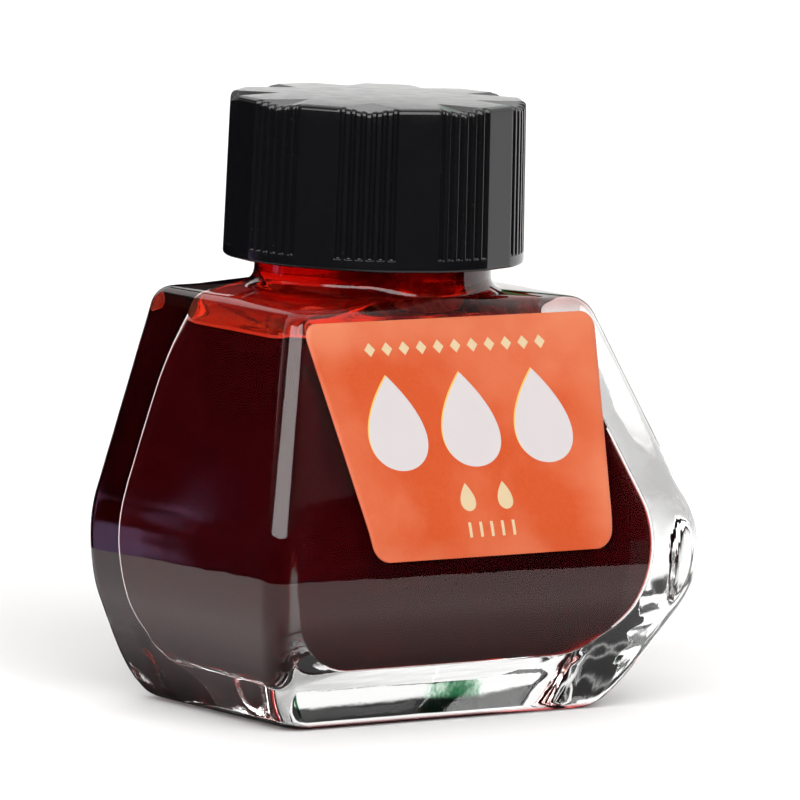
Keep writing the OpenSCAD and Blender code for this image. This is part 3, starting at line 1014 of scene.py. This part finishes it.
def make_apron():
    """A glowing ground sheet seen only in reflections, with a painted contact shadow: darker close
    to the bottle's foot.
    """
    material, nodes = new_material("floor_glow_with_painted_shadow")
    x, y, _ = nodes.axes(nodes.place())
    side = nodes.math("SUBTRACT", nodes.math("ABSOLUTE", x), HALF_WIDTHS[0] / MM)
    front = nodes.math("SUBTRACT", nodes.math("MULTIPLY", y, -1.0), (FRONTS[0] - NECK_Y) / MM)
    away = nodes.math("MAXIMUM", side, nodes.math("MULTIPLY", front, 0.75))
    # painted contact shadow: the sheet glows less close to the bottle's foot
    glow(nodes, (1.0, 0.97, 0.97, 1), nodes.ramp(away, 0.0, 16.0, 0.03, 1.0))
    only_reflected(flat_square("floor_glow_with_painted_shadow", APRON_SIZE, APRON_Z, material))


# The studio, in degrees: turn is from the front towards the left, rise is above the horizon.
PANEL_RIGHT, PANEL_LEFT, PANEL_SOFT = -15, 88, 4
PANEL_FOOT, PANEL_HEAD = (3.5, 6), (62, 58)          # where it has no light, and where full light
PANEL_STRENGTH = 5.0
# stands and flags behind the bottle: turn from and to, rise from and to, soft edge
FAR_PATCHES = [
    (190, 245, 9.0, 13.5, 0.7),
    (152, 180, 37, 47, 2.0),
    (205, 216, 21, 30, 1.5),
    (175, 211, 3.0, 12.0, 3.0),
    (138, 180, 10, 38, 3.0),
]
GREEN_PATCH = (218.3, 222, 6, 13, 0.8)
PLAIN_LIGHT = (1.0, 0.99, 0.985, 1)
GREEN_LIGHT = (0.1, 0.75, 0.3, 1)


def band(nodes, angle, low, high, edge):
    """1 where the angle lies between low and high."""
    low, high, edge = (math.radians(v) for v in (low, high, edge))
    return nodes.product(nodes.ramp(angle, low - edge, low + edge),
                         nodes.ramp(angle, high + edge, high - edge))


def make_light():
    """A studio: bright behind the object, dark behind the camera, and one large soft panel.

    The thick glass shows the dark stands and flags behind the bottle as streaks.
    """
    world = bpy.data.worlds.new("studio")
    bpy.context.scene.world = world
    world.use_nodes = True
    nodes = Nodes(world.node_tree)
    x, y, z = nodes.axes(nodes.add("ShaderNodeTexCoord").outputs["Generated"])
    rise = nodes.math("ARCSINE", z)
    turn = nodes.turn(x, y)
    far_turn = nodes.math("MODULO", nodes.math("ADD", turn, 2 * math.pi), 2 * math.pi)

    def patch(start, end, low, high, edge):
        return nodes.product(band(nodes, far_turn, start, end, edge),
                             band(nodes, rise, low, high, edge))

    facing = nodes.math("ADD", nodes.product(x, -math.sin(VIEW_AZIMUTH)),
                        nodes.product(y, -math.cos(VIEW_AZIMUTH)))
    behind = nodes.ramp(facing, 0.25, -0.25, 0.08, 1.1)
    foot, head = (np.sin(np.radians(pair)).tolist() for pair in (PANEL_FOOT, PANEL_HEAD))
    panel = nodes.product(band(nodes, turn, PANEL_RIGHT, PANEL_LEFT, PANEL_SOFT),
                          nodes.ramp(z, *foot), nodes.ramp(z, *head), PANEL_STRENGTH)
    dark = nodes.most([patch(*where) for where in FAR_PATCHES])
    green = patch(*GREEN_PATCH)
    strength = nodes.product(nodes.math("ADD", behind, panel),
                             nodes.ramp(dark, 0.0, 1.0, 1.0, 0.03),
                             nodes.ramp(green, 0.0, 1.0, 1.0, 0.2))
    tint = nodes.mix(green, PLAIN_LIGHT, GREEN_LIGHT)
    light = nodes.add("ShaderNodeBackground", {"Color": tint, "Strength": strength})
    nodes.add("ShaderNodeOutputWorld", {"Surface": light.outputs[0]})


def set_render():
    scene = bpy.context.scene
    scene.view_settings.view_transform = "Standard"
    scene.cycles.use_denoising = True
    scene.cycles.max_bounces = 24
    scene.cycles.transmission_bounces = 24
    scene.cycles.glossy_bounces = 12
    scene.cycles.transparent_max_bounces = 24
    scene.cycles.sample_clamp_indirect = 6.0
    scene.cycles.blur_glossy = 0.2


make_camera()
make_floor()
make_curtain()
make_apron()
make_light()
set_render()
make_glass()
make_ink()
make_label()
make_cap()
make_liner()
